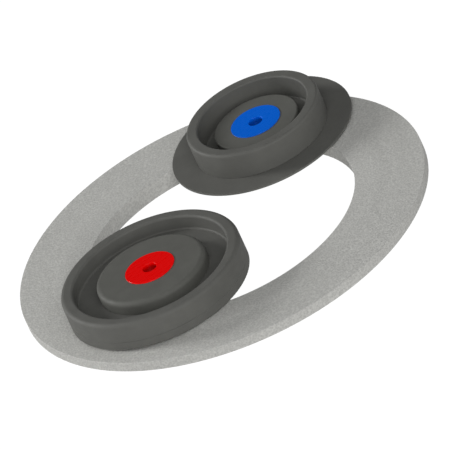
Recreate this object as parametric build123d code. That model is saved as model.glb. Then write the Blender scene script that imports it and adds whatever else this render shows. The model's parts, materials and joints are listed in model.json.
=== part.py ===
from build123d import *

import os
from dataclasses import dataclass
from math import cos, radians, sin

# A flat ring carrying two free-spinning cup wheels, each on its own upright spindle.
# Millimetres, +Z up, origin on the ring's axis in the plane the ring rests on.

# Driving sizes
WHEEL_D = 120.0  # widest diameter of both wheels
WHEEL_H = 19.2  # height of both wheels, underside to rim
RING_T = 11.1  # thickness of the ring's raised inner band
SPINDLE_D = 8.0  # diameter of the running part of each spindle
CAP_D = 33.0  # diameter of the coloured centre caps

# Gaps and fits
RUNNING_FIT = 0.05  # radial gap between spindle and bush
PRESS_FIT = 0.02  # radial gap left between pieces pressed together
SEAT_FIT = 0.1  # gap round a plate lying in its pocket
FLOAT = 0.1  # end float under and over each bush
LIFT = 0.4  # gap between the ring and the wheels above it

# Ring
RING_R = 1.132 * WHEEL_D
RING_HOLE_R = 0.747 * WHEEL_D
BAND_R = 0.878 * WHEEL_D  # outer edge of the raised inner band
BEVEL_R = 0.947 * WHEEL_D  # foot of the bevel outside the band
FOOT_T = 0.84 * RING_T  # thickness at the bevel's foot
EDGE_T = 0.61 * RING_T  # thickness at the ring's outer edge
RING_MID = RING_T / 2
RING_BREAK = 0.2  # chamfer on the edges of the hole and of the rim
BEVEL_ROUND = 0.4 * WHEEL_D  # blends the band into the bevel
JOIN_SCREWS = 8  # places round the ring; the one under the blue wheel stays empty
JOIN_SCREW_R = (RING_HOLE_R + BAND_R) / 2

# Screws
SCREW_R = 1.5
SCREW_HEAD_R = 2.9
SCREW_HEAD_H = SCREW_HEAD_R - SCREW_R
SCREW_SINK = 0.1  # depth of the head below the surface
SCREW_GAP = 0.1  # radial gap round the head and in plain holes
KEY_R = 1.1  # across-corners radius of the hexagon drive
KEY_DEPTH = 0.9

# Carriers, clamped between the ring halves
PLATE_T = 0.36 * RING_T
PLATE_BOTTOM = RING_MID - PLATE_T / 2
PLATE_TOP = RING_MID + PLATE_T / 2
PLATE_HALF_W = 2 * SPINDLE_D
PLATE_END = BAND_R - 1.4
PLATE_SCREW_BACK = 4.0  # carrier screws stand this far in from the plate's end
PLATE_SCREW_SPREAD = 0.65 * PLATE_HALF_W
BOSS_R = 1.1 * SPINDLE_D
BOSS_ROOM = 0.4

# Spindle and what runs on it
SPINDLE_R = SPINDLE_D / 2
THREAD_R = 0.75 * SPINDLE_R
HEAD_R = 1.6 * SPINDLE_R
HEAD_H = 0.22 * RING_T
HEAD_ROOM = 1.4
BUSH_R = 1.5 * SPINDLE_R
THRUST_R = 2.0 * SPINDLE_R
THRUST_T = 1.0
NUT_FLAT_R = 1.25 * SPINDLE_R
NUT_H = 0.8 * SPINDLE_R
THREAD_OUT = 0.4  # thread standing out above the nut
END_ROOM = 0.6  # room between the thread's end and the cap
WHEEL_BOTTOM = RING_T + LIFT
BOSS_TOP = WHEEL_BOTTOM - FLOAT - THRUST_T

# Caps
CAP_R = CAP_D / 2
CAP_T = 3.0
CAP_PROUD = 0.5
CAP_SEAT = CAP_T - CAP_PROUD
CAP_ROUND = 0.3
SOCKET_R = 0.28 * CAP_R
SOCKET_DEPTH = 3.2
SOCKET_WALL = 0.8  # thickness round and under the socket
CHAMBER_R = 2.5 * SPINDLE_R  # room for the nut under the cap
SKIRT_H = 1.6
SKIRT_T = 1.4

# Wheels
SPIGOT_R = 3.5 * SPINDLE_R  # hub spigot passing down through cup and base
GROOVE_DEPTH = 0.469 * WHEEL_H
HUB_SCREWS = 4
HUB_SCREW_TURN = 30.0  # where the first screw stands
CREASE = 0.3  # chamfer on both sides of the joint between base and cup
GROOVE_ROUND = 1.2


@dataclass
class Wheel:
    """Sizes of one wheel; heights are counted from its underside."""

    name: str
    azimuth: float  # direction of the spindle from the ring's axis, degrees
    spindle_at: float  # distance of the spindle from the ring's axis
    base_t: float
    wall_r: float
    bore_r: float
    rim_round: float
    hub_r: float
    hub_top: float
    hub_round: float

    @property
    def floor(self):
        return self.hub_top - GROOVE_DEPTH

    @property
    def bush_len(self):
        stack = FLOAT + THRUST_T + NUT_H + THREAD_OUT + END_ROOM
        return self.hub_top + CAP_PROUD - SOCKET_DEPTH - SOCKET_WALL - stack

    @property
    def screw_len(self):
        return self.floor + 0.6 * GROOVE_DEPTH

    @property
    def screw_at(self):
        return (SPIGOT_R + self.hub_r) / 2

    def place(self):
        """Where the wheel's underside stands, seen from the ring's axis."""
        turn = radians(self.azimuth)
        x = self.spindle_at * cos(turn)
        y = self.spindle_at * sin(turn)
        return Location((x, y, WHEEL_BOTTOM))


BLUE = Wheel(
    name="blue",
    azimuth=45.0,
    spindle_at=RING_HOLE_R + 0.017 * WHEEL_D,
    base_t=0.078 * WHEEL_H,
    wall_r=0.368 * WHEEL_D,
    bore_r=0.305 * WHEEL_D,
    rim_round=1.8,
    hub_r=0.233 * WHEEL_D,
    hub_top=0.63 * WHEEL_H,
    hub_round=0.8,
)
RED = Wheel(
    name="red",
    azimuth=205.4,
    spindle_at=RING_HOLE_R - 0.191 * WHEEL_D,
    base_t=0.286 * WHEEL_H,
    wall_r=0.5 * WHEEL_D,
    bore_r=0.43 * WHEEL_D,
    rim_round=2.8,
    hub_r=0.305 * WHEEL_D,
    hub_top=0.953 * WHEEL_H,
    hub_round=3.2,
)
WHEELS = (BLUE, RED)


def turned(corners, rounds=()):
    """Turn an outline of (radius, height) corners about Z, rounding the corners named in rounds."""
    outline = make_face(Polyline(*corners, close=True))
    for place, size in rounds:
        corner = outline.vertices().sort_by_distance((*corners[place], 0))[0]
        outline = fillet(corner, size)
    return revolve(Plane.XZ * outline, Axis.Z)


def cylinder(radius, bottom, top):
    return Pos(0, 0, bottom) * extrude(Circle(radius), top - bottom)


def tube(outer, inner, bottom, top):
    return Pos(0, 0, bottom) * extrude(Circle(outer) - Circle(inner), top - bottom)


def round_about(count, radius, first=0.0):
    """Places evenly spaced on a circle."""
    return [Rot(0, 0, first + k * 360 / count) * Pos(radius, 0, 0) for k in range(count)]


def screw(length):
    """Countersunk screw standing head down, its tip at the length given."""
    corners = [
        (0, SCREW_SINK),
        (SCREW_HEAD_R, SCREW_SINK),
        (SCREW_R, SCREW_SINK + SCREW_HEAD_H),
        (SCREW_R, length - SCREW_R / 2),
        (SCREW_R / 2, length),
        (0, length),
    ]
    key = Pos(0, 0, SCREW_SINK) * extrude(RegularPolygon(KEY_R, 6), KEY_DEPTH)
    return turned(corners) - key


def screw_room(length, clear_to):
    """Countersink and plain hole for a screw, narrowing to its thread above clear_to."""
    head = SCREW_HEAD_R + SCREW_GAP
    plain = SCREW_R + SCREW_GAP
    grip = SCREW_R + PRESS_FIT
    corners = [
        (0, -1),
        (head, -1),
        (head, SCREW_SINK),
        (plain, SCREW_SINK + head - plain),
        (plain, clear_to),
        (grip, clear_to),
        (grip, length + SCREW_GAP),
        (0, length + SCREW_GAP),
    ]
    return turned(corners)


# Ring and carriers


def along(wheel):
    """Frame with X pointing from the ring's axis towards the wheel's spindle."""
    return Rot(0, 0, wheel.azimuth)


def plate_shape(wheel, grow=0.0):
    """Plan of a carrier: round under the wheel, straight out into the ring."""
    length = PLATE_END - wheel.spindle_at + grow
    nose = Pos(wheel.spindle_at, 0) * Circle(PLATE_HALF_W + grow)
    arm = Pos(wheel.spindle_at + length / 2, 0) * Rectangle(length, 2 * (PLATE_HALF_W + grow))
    reach = Rectangle(2 * (PLATE_END + grow), 4 * PLATE_HALF_W)
    return (nose + arm) & reach


def plate_screw_places():
    x = PLATE_END - PLATE_SCREW_BACK
    return [Pos(x, side * PLATE_SCREW_SPREAD, 0) for side in (-1, 1)]


def carrier(wheel):
    plate = Pos(0, 0, PLATE_BOTTOM) * extrude(plate_shape(wheel), PLATE_T)
    centre = Pos(wheel.spindle_at, 0, 0)
    plate += centre * cylinder(BOSS_R, PLATE_BOTTOM, BOSS_TOP)
    plate -= centre * cylinder(SPINDLE_R + PRESS_FIT, 0, WHEEL_BOTTOM)
    for place in plate_screw_places():
        plate -= place * cylinder(SCREW_R + SCREW_GAP, 0, RING_T)
    return along(wheel) * plate


def carrier_room(wheel):
    """Everything cut out of the ring for a carrier, its boss and its spindle's head."""
    shape = plate_shape(wheel, SEAT_FIT)
    centre = Pos(wheel.spindle_at, 0, 0)
    room = Pos(0, 0, PLATE_BOTTOM) * extrude(shape, PLATE_T)
    room += centre * cylinder(BOSS_R + BOSS_ROOM, PLATE_TOP, RING_T + 1)
    room += centre * cylinder(HEAD_R + HEAD_ROOM, -1, PLATE_BOTTOM)
    return along(wheel) * room


JOIN_SCREW_LEN = 0.8 * RING_T


def ring_screw_places():
    first = BLUE.azimuth
    places = round_about(JOIN_SCREWS, JOIN_SCREW_R, first)
    return places[1:]


def carrier_screw_places():
    return [along(wheel) * place for wheel in WHEELS for place in plate_screw_places()]


def ring_half(side):
    """One half of the ring, above its middle plane for side 1 and below it for side -1."""
    outline = [
        (RING_HOLE_R, 0),
        (RING_HOLE_R, RING_T / 2 - RING_BREAK),
        (RING_HOLE_R + RING_BREAK, RING_T / 2),
        (BAND_R, RING_T / 2),
        (BEVEL_R, FOOT_T / 2),
        (RING_R - RING_BREAK, EDGE_T / 2),
        (RING_R, EDGE_T / 2 - RING_BREAK),
        (RING_R, 0),
    ]
    corners = [(radius, RING_MID + side * height) for radius, height in outline]
    half = turned(corners, [(3, BEVEL_ROUND)])
    for wheel in WHEELS:
        half -= carrier_room(wheel)
    for place in ring_screw_places() + carrier_screw_places():
        half -= place * screw_room(JOIN_SCREW_LEN, RING_MID)
    return half


def ring_lower():
    return ring_half(-1)


def ring_upper():
    return ring_half(1)


def group(solid, places):
    return Compound(children=[place * solid for place in places])


# Running gear


def spindle(wheel):
    """Pin with a head under the carrier, a shoulder above the bush and a thread for the nut."""
    shoulder = wheel.bush_len + FLOAT
    top = shoulder + THRUST_T + NUT_H + THREAD_OUT
    under = PLATE_BOTTOM - WHEEL_BOTTOM
    corners = [
        (0, under - HEAD_H),
        (HEAD_R, under - HEAD_H),
        (HEAD_R, under),
        (SPINDLE_R, under),
        (SPINDLE_R, shoulder),
        (THREAD_R, shoulder),
        (THREAD_R, top - THREAD_OUT),
        (THREAD_R - THREAD_OUT, top),
        (0, top),
    ]
    pin = turned(corners, [(1, HEAD_H / 4)])
    key = Pos(0, 0, under - HEAD_H) * extrude(RegularPolygon(THREAD_R, 6), HEAD_H / 2)
    return pin - key


def lower_washer(wheel):
    return tube(THRUST_R, SPINDLE_R + PRESS_FIT, -FLOAT - THRUST_T, -FLOAT)


def upper_washer(wheel):
    bottom = wheel.bush_len + FLOAT
    return tube(BUSH_R, THREAD_R + PRESS_FIT, bottom, bottom + THRUST_T)


def nut(wheel):
    bottom = wheel.bush_len + FLOAT + THRUST_T
    shape = RegularPolygon(NUT_FLAT_R, 6, major_radius=False) - Circle(THREAD_R + PRESS_FIT)
    block = Pos(0, 0, bottom) * extrude(shape, NUT_H)
    crown = turned(
        [
            (0, bottom),
            (NUT_FLAT_R * 1.16, bottom),
            (NUT_FLAT_R * 1.16, bottom + NUT_H * 0.75),
            (NUT_FLAT_R, bottom + NUT_H),
            (0, bottom + NUT_H),
        ]
    )
    return block & crown


def bush(wheel):
    return tube(BUSH_R, SPINDLE_R + RUNNING_FIT, 0, wheel.bush_len)


# Wheels


def hub_screw_places(wheel):
    return round_about(HUB_SCREWS, wheel.screw_at, HUB_SCREW_TURN)


def drilled(solid, wheel):
    """Cut the rooms of the screws that hold base, cup and hub together."""
    for place in hub_screw_places(wheel):
        solid -= place * screw_room(wheel.screw_len, wheel.floor)
    return solid


def base(wheel):
    hole = SPIGOT_R + PRESS_FIT
    rim = WHEEL_D / 2
    corners = [(hole, 0), (rim, 0), (rim, wheel.base_t), (hole, wheel.base_t)]
    rounds = [(1, CREASE), (2, CREASE)]
    return drilled(turned(corners, rounds), wheel)


def cup(wheel):
    hole = SPIGOT_R + PRESS_FIT
    corners = [
        (hole, wheel.base_t),
        (wheel.wall_r, wheel.base_t),
        (wheel.wall_r, WHEEL_H),
        (wheel.bore_r, WHEEL_H),
        (wheel.bore_r, wheel.floor),
        (hole, wheel.floor),
    ]
    rounds = [
        (1, CREASE),
        (2, wheel.rim_round),
        (3, 0.6 * wheel.rim_round),
        (4, GROOVE_ROUND),
    ]
    return drilled(turned(corners, rounds), wheel)


def hub(wheel):
    seat = wheel.hub_top - CAP_SEAT
    corners = [
        (BUSH_R + PRESS_FIT, 0),
        (SPIGOT_R, 0),
        (SPIGOT_R, wheel.floor),
        (wheel.hub_r, wheel.floor),
        (wheel.hub_r, wheel.hub_top),
        (CAP_R + PRESS_FIT, wheel.hub_top),
        (CAP_R + PRESS_FIT, seat),
        (CHAMBER_R, seat),
        (CHAMBER_R, wheel.bush_len),
        (BUSH_R + PRESS_FIT, wheel.bush_len),
    ]
    return drilled(turned(corners, [(4, wheel.hub_round)]), wheel)


def cap(wheel):
    top = wheel.hub_top + CAP_PROUD
    seat = wheel.hub_top - CAP_SEAT
    skirt = CHAMBER_R - PRESS_FIT
    corners = [
        (0, top - SOCKET_DEPTH - SOCKET_WALL),
        (SOCKET_R + SOCKET_WALL, top - SOCKET_DEPTH - SOCKET_WALL),
        (SOCKET_R + SOCKET_WALL, seat),
        (skirt - SKIRT_T, seat),
        (skirt - SKIRT_T, seat - SKIRT_H),
        (skirt, seat - SKIRT_H),
        (skirt, seat),
        (CAP_R, seat),
        (CAP_R, top),
        (SOCKET_R, top),
        (SOCKET_R, top - SOCKET_DEPTH),
        (0, top - SOCKET_DEPTH),
    ]
    return turned(corners, [(8, CAP_ROUND), (9, CAP_ROUND)])


def hub_screws(wheel):
    return group(screw(wheel.screw_len), hub_screw_places(wheel))


def save(name, shape):
    export_step(shape, os.path.join("parts", name + ".step"))


os.makedirs("parts", exist_ok=True)

save("ring_lower", ring_lower())
save("ring_upper", ring_upper())
save("ring_screws", group(screw(JOIN_SCREW_LEN), ring_screw_places()))
save("carrier_screws", group(screw(JOIN_SCREW_LEN), carrier_screw_places()))

AT_WHEEL = {
    "base": base,
    "cup": cup,
    "hub": hub,
    "cap": cap,
    "bush": bush,
    "hub_screws": hub_screws,
    "spindle": spindle,
    "lower_washer": lower_washer,
    "upper_washer": upper_washer,
    "nut": nut,
}

for wheel in WHEELS:
    save(wheel.name + "_carrier", carrier(wheel))
    for name, make in AT_WHEEL.items():
        save(wheel.name + "_" + name, wheel.place() * make(wheel))
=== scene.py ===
import json
import math

import bpy
from mathutils import Matrix, Vector


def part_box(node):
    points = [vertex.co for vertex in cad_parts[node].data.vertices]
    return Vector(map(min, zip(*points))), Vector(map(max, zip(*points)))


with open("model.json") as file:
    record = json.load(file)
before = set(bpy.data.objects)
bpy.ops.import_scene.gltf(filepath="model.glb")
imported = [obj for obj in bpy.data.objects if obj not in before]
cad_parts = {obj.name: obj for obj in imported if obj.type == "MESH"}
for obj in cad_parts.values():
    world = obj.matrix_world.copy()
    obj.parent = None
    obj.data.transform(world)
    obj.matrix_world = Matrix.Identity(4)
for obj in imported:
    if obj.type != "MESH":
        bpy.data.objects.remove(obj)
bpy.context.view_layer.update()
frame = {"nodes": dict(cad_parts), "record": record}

# ---------------------------------------------------------------- node helpers


def new_material(name):
    """Empty node material with a Principled shader going to its output."""
    mat = bpy.data.materials.new(name)
    mat.use_nodes = True
    tree = mat.node_tree
    tree.nodes.clear()
    out = tree.nodes.new("ShaderNodeOutputMaterial")
    shader = tree.nodes.new("ShaderNodeBsdfPrincipled")
    tree.links.new(shader.outputs["BSDF"], out.inputs["Surface"])
    return mat, tree, shader


def object_coords(tree, stretch=(1, 1, 1)):
    """Object coordinates, scaled along each axis."""
    coords = tree.nodes.new("ShaderNodeTexCoord")
    mapping = tree.nodes.new("ShaderNodeMapping")
    mapping.inputs["Scale"].default_value = stretch
    tree.links.new(coords.outputs["Object"], mapping.inputs["Vector"])
    return mapping.outputs["Vector"]


def noise(tree, vector, grain_m, detail=3.0, rough=0.55):
    """Noise whose features are about grain_m metres across."""
    tex = tree.nodes.new("ShaderNodeTexNoise")
    tex.inputs["Scale"].default_value = 1.0 / grain_m
    tex.inputs["Detail"].default_value = detail
    tex.inputs["Roughness"].default_value = rough
    tree.links.new(vector, tex.inputs["Vector"])
    return tex.outputs["Fac"]


def cells(tree, vector, grain_m):
    """Distance from the middle of cells about grain_m metres across."""
    tex = tree.nodes.new("ShaderNodeTexVoronoi")
    tex.feature = "F1"
    tex.inputs["Scale"].default_value = 1.0 / grain_m
    tree.links.new(vector, tex.inputs["Vector"])
    return tex.outputs["Distance"]


NOISE_SPAN = (0.3, 0.7)  # noise seldom leaves this span
WHOLE = (0.0, 1.0)


def remap(tree, value, span, to=WHOLE):
    """Value carried from one span to another, and held at its ends."""
    node = tree.nodes.new("ShaderNodeMapRange")
    node.inputs["From Min"].default_value = span[0]
    node.inputs["From Max"].default_value = span[1]
    node.inputs["To Min"].default_value = to[0]
    node.inputs["To Max"].default_value = to[1]
    tree.links.new(value, node.inputs["Value"])
    return node.outputs["Result"]


def math_node(tree, operation, a, b):
    """Sum or product of two values, each a number or another node's output."""
    node = tree.nodes.new("ShaderNodeMath")
    node.operation = operation
    for socket, value in zip(node.inputs, (a, b)):
        if isinstance(value, (int, float)):
            socket.default_value = value
        else:
            tree.links.new(value, socket)
    return node.outputs["Value"]


def tint(tree, factor, dark, light):
    """Colour between dark and light by factor."""
    node = tree.nodes.new("ShaderNodeMix")
    node.data_type = "RGBA"
    node.inputs["A"].default_value = (*dark, 1)
    node.inputs["B"].default_value = (*light, 1)
    tree.links.new(factor, node.inputs["Factor"])
    return node.outputs["Result"]


def mottled(tree, shader, value, dark, light, span=NOISE_SPAN):
    """Base colour wandering between dark and light with value."""
    colour = tint(tree, remap(tree, value, span), dark, light)
    tree.links.new(colour, shader.inputs["Base Color"])


def roughened(tree, shader, value, low, high):
    """Roughness wandering between low and high with value."""
    tree.links.new(remap(tree, value, NOISE_SPAN, (low, high)), shader.inputs["Roughness"])


def bump(tree, shader, height, depth_m, strength):
    """Surface relief depth_m metres deep."""
    node = tree.nodes.new("ShaderNodeBump")
    node.inputs["Strength"].default_value = strength
    node.inputs["Distance"].default_value = depth_m
    tree.links.new(height, node.inputs["Height"])
    tree.links.new(node.outputs["Normal"], shader.inputs["Normal"])


def scaled(colour, k):
    """Colour made darker or lighter by a factor."""
    return tuple(c * k for c in colour)


# ---------------------------------------------------------------- materials

# Object coordinates are metres, so every grain below is a real size.
RING_CELL = 0.0013
RING_MOTTLE = 0.0018
RING_PATCH = 0.035
RUBBER_SKIN = 0.0006
RUBBER_BLOOM = 0.014
RUBBER_RUB = 0.006
CAP_SKIN = 0.0009
CAP_SCRATCH = 0.004
METAL_TARNISH = 0.004
NYLON_SKIN = 0.0008

RING_GREY = (0.55, 0.547, 0.52)
CUP_GREY = (0.134, 0.134, 0.123)
HUB_GREY = (0.13, 0.131, 0.118)
SOCKET_DEPTH = 0.0024  # painted shade is darkest this far below the cap's face
SOCKET_EDGE = 0.0004  # and ends this far below it
SOCKET_PAINTED_SHADE = 0.5  # how much darker the painted shade makes the socket's plastic
BLUE = (0.0, 0.148, 0.82)
RED = (1.0, 0.0, 0.0)


def ring_material():
    """Pale matt plastic with a fine woven-looking grain."""
    mat, tree, shader = new_material("ring_grain")
    vector = object_coords(tree)
    fine = cells(tree, vector, RING_CELL)
    mottle = noise(tree, vector, RING_MOTTLE, detail=4.0, rough=0.65)
    broad = noise(tree, vector, RING_PATCH, detail=2.0)
    grain = math_node(tree, "ADD", math_node(tree, "MULTIPLY", fine, 0.8), mottle)
    level = remap(tree, grain, (0.55, 1.25))
    shade = math_node(tree, "ADD", math_node(tree, "MULTIPLY", broad, 0.25), level)
    mottled(tree, shader, shade, scaled(RING_GREY, 0.84), scaled(RING_GREY, 1.16), (0.1, 1.15))
    roughened(tree, shader, mottle, 0.6, 0.78)
    shader.inputs["Specular IOR Level"].default_value = 0.2
    bump(tree, shader, grain, 0.0002, 0.9)
    return mat


def rubber_material(name, colour):
    """Dark matt moulded rubber: fine skin grain, faint bloom and rubbed patches."""
    mat, tree, shader = new_material(name)
    vector = object_coords(tree)
    skin = noise(tree, vector, RUBBER_SKIN, detail=5.0, rough=0.6)
    bloom = noise(tree, vector, RUBBER_BLOOM, detail=4.0, rough=0.6)
    rubbed = noise(tree, object_coords(tree, (1, 1, 3)), RUBBER_RUB, detail=3.0)
    shade = math_node(tree, "ADD", math_node(tree, "MULTIPLY", skin, 0.35), bloom)
    mottled(tree, shader, shade, scaled(colour, 0.93), scaled(colour, 1.07), (0.45, 0.9))
    roughened(tree, shader, rubbed, 0.55, 0.7)
    shader.inputs["Specular IOR Level"].default_value = 0.3
    bump(tree, shader, skin, 0.00006, 0.6)
    return mat


def cap_material(name, colour, node):
    """Saturated moulded plastic with a trace of fine scratches and painted shade down in its
    socket.
    """
    mat, tree, shader = new_material(name)
    vector = object_coords(tree)
    skin = noise(tree, vector, CAP_SKIN, detail=4.0)
    scratch = noise(tree, object_coords(tree, (1, 14, 1)), CAP_SCRATCH, detail=2.0)
    split = tree.nodes.new("ShaderNodeSeparateXYZ")
    tree.links.new(vector, split.inputs["Vector"])
    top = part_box(node)[1].z
    face = tint(tree, remap(tree, skin, NOISE_SPAN), scaled(colour, 0.95), colour)
    # painted shade: the socket's colour darkens with depth below the cap's face, standing in for
    # the shade in the recess
    depth = remap(tree, split.outputs["Z"], (top - SOCKET_DEPTH, top - SOCKET_EDGE))
    mix = tree.nodes.new("ShaderNodeMix")
    mix.data_type = "RGBA"
    mix.inputs["A"].default_value = (*scaled(colour, SOCKET_PAINTED_SHADE), 1)
    tree.links.new(face, mix.inputs["B"])
    tree.links.new(depth, mix.inputs["Factor"])
    tree.links.new(mix.outputs["Result"], shader.inputs["Base Color"])
    roughened(tree, shader, scratch, 0.24, 0.36)
    shader.inputs["Specular IOR Level"].default_value = 0.3
    bump(tree, shader, skin, 0.00003, 0.5)
    return mat


def metal_material(name, colour, rough, stretch, grain):
    """Dull turned or machined metal: fine drawn-out tool marks and a little tarnish."""
    mat, tree, shader = new_material(name)
    marks = noise(tree, object_coords(tree, stretch), grain, detail=4.0)
    tarnish = noise(tree, object_coords(tree), METAL_TARNISH, detail=3.0)
    mottled(tree, shader, tarnish, scaled(colour, 0.82), colour)
    roughened(tree, shader, marks, rough - 0.08, rough + 0.1)
    shader.inputs["Metallic"].default_value = 0.55
    bump(tree, shader, marks, 0.00002, 0.6)
    return mat


def nylon_material():
    """Natural nylon of the thrust washers."""
    mat, tree, shader = new_material("nylon")
    skin = noise(tree, object_coords(tree), NYLON_SKIN, detail=3.0)
    mottled(tree, shader, skin, (0.62, 0.6, 0.54), (0.74, 0.72, 0.66))
    roughened(tree, shader, skin, 0.4, 0.5)
    bump(tree, shader, skin, 0.00002, 0.4)
    return mat


MATERIALS = {
    "ring": ring_material(),
    "cup_rubber": rubber_material("cup_rubber", CUP_GREY),
    "hub_rubber": rubber_material("hub_rubber", HUB_GREY),
    "blue_cap": cap_material("blue_cap", BLUE, "blue_cap"),
    "red_cap": cap_material("red_cap", RED, "red_cap"),
    "bronze": metal_material("bronze", (0.62, 0.4, 0.2), 0.32, (1, 1, 9), 0.0012),
    "steel": metal_material("zinc_steel", (0.6, 0.6, 0.62), 0.34, (1, 1, 6), 0.001),
    "aluminium": metal_material("aluminium", (0.72, 0.73, 0.75), 0.38, (8, 1, 1), 0.0014),
    "washer": nylon_material(),
}

SLOT_OF = {row["node"]: row["material_slot"] for row in frame["record"]["subparts"]}


def paint(obj, material):
    """Give the object this one material."""
    obj.data.materials.clear()
    obj.data.materials.append(material)


for node, obj in frame["nodes"].items():
    paint(obj, MATERIALS[SLOT_OF[node]])

# ---------------------------------------------------------------- camera, light, floor

VIEW_WIDTH = 0.28125
RING_RIGHT = -0.0004375  # the ring's middle, seen from the middle of the view
RING_UP = -0.005025
ELEVATION = math.radians(30)
ROLL = math.radians(24.8)
TURN = math.radians(-14.17)  # which way the viewer's right points in the row frame

# name, azimuth, elevation, energy, spread (angles in degrees)
LAMPS = (
    ("key", 148, 23, 1.78, 18),
    ("front", -88, 28, 1.5, 50),
    ("side", 20, 35, 0.1, 40),
)
SKY_COLOUR = (0.97, 0.985, 1.0)
SKY_STRENGTH = 0.24
FLOOR_HALF = 4.0
FLOOR_DROP = 0.0006  # the floor lies this far under the ring
FLOOR_SHOWN = 1.0  # white for the camera
FLOOR_LIT = 0.5  # what it throws back on to the object


def set_camera():
    """Orthographic camera rolled by ROLL, with the ring's middle a little below the view's."""
    turn = Matrix.Rotation(TURN, 3, "Z")
    forward = turn @ Vector((0, math.cos(ELEVATION), -math.sin(ELEVATION)))
    level_up = turn @ Vector((0, math.sin(ELEVATION), math.cos(ELEVATION)))
    level_right = forward.cross(level_up)
    right = math.cos(ROLL) * level_right - math.sin(ROLL) * level_up
    up = math.sin(ROLL) * level_right + math.cos(ROLL) * level_up
    ring_low, ring_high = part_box("ring_lower")[0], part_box("ring_upper")[1]
    target = (ring_low + ring_high) / 2 - right * RING_RIGHT - up * RING_UP
    cam = bpy.data.cameras.new("camera")
    cam.type = "ORTHO"
    cam.ortho_scale = VIEW_WIDTH
    cam.clip_start = 0.01
    cam.clip_end = 10
    obj = bpy.data.objects.new("camera", cam)
    bpy.context.scene.collection.objects.link(obj)
    place = Matrix((right, up, -forward)).transposed().to_4x4()
    place.translation = target - forward
    obj.matrix_world = place
    bpy.context.scene.camera = obj


def add_sun(name, azimuth, elevation, energy, spread):
    """Distant lamp; azimuth is counted from the viewer's right, anticlockwise seen from above."""
    lamp = bpy.data.lights.new(name, "SUN")
    lamp.energy = energy
    lamp.angle = math.radians(spread)
    obj = bpy.data.objects.new(name, lamp)
    bpy.context.scene.collection.objects.link(obj)
    a = math.radians(azimuth) + TURN
    e = math.radians(elevation)
    towards = Vector((math.cos(a) * math.cos(e), math.sin(a) * math.cos(e), math.sin(e)))
    obj.rotation_mode = "QUATERNION"
    obj.rotation_quaternion = (-towards).to_track_quat("-Z", "Y")


def set_light():
    """Low key lamp from the far left, broad front lamp, faint side lamp and a dim sky."""
    for lamp in LAMPS:
        add_sun(*lamp)
    world = bpy.data.worlds.new("studio")
    world.use_nodes = True
    back = world.node_tree.nodes["Background"]
    back.inputs["Color"].default_value = (*SKY_COLOUR, 1)
    back.inputs["Strength"].default_value = SKY_STRENGTH
    world.cycles_visibility.glossy = False
    bpy.context.scene.world = world
    bpy.context.scene.view_settings.view_transform = "Standard"


def set_floor():
    """Plain white floor that also lights the object's walls from below."""
    mesh = bpy.data.meshes.new("floor")
    around = ((-1, -1), (1, -1), (1, 1), (-1, 1))
    corners = [(x * FLOOR_HALF, y * FLOOR_HALF, -FLOOR_DROP) for x, y in around]
    mesh.from_pydata(corners, [], [(0, 1, 2, 3)])
    floor = bpy.data.objects.new("floor", mesh)
    bpy.context.scene.collection.objects.link(floor)

    mat, tree, shader = new_material("white_floor")
    shader.inputs["Base Color"].default_value = (0.05, 0.05, 0.05, 1)
    shader.inputs["Roughness"].default_value = 0.9
    shader.inputs["Emission Color"].default_value = (1, 1, 1, 1)
    path = tree.nodes.new("ShaderNodeLightPath")
    shown = remap(tree, path.outputs["Is Camera Ray"], WHOLE, (FLOOR_LIT, FLOOR_SHOWN))
    tree.links.new(shown, shader.inputs["Emission Strength"])
    paint(floor, mat)


set_camera()
set_light()
set_floor()
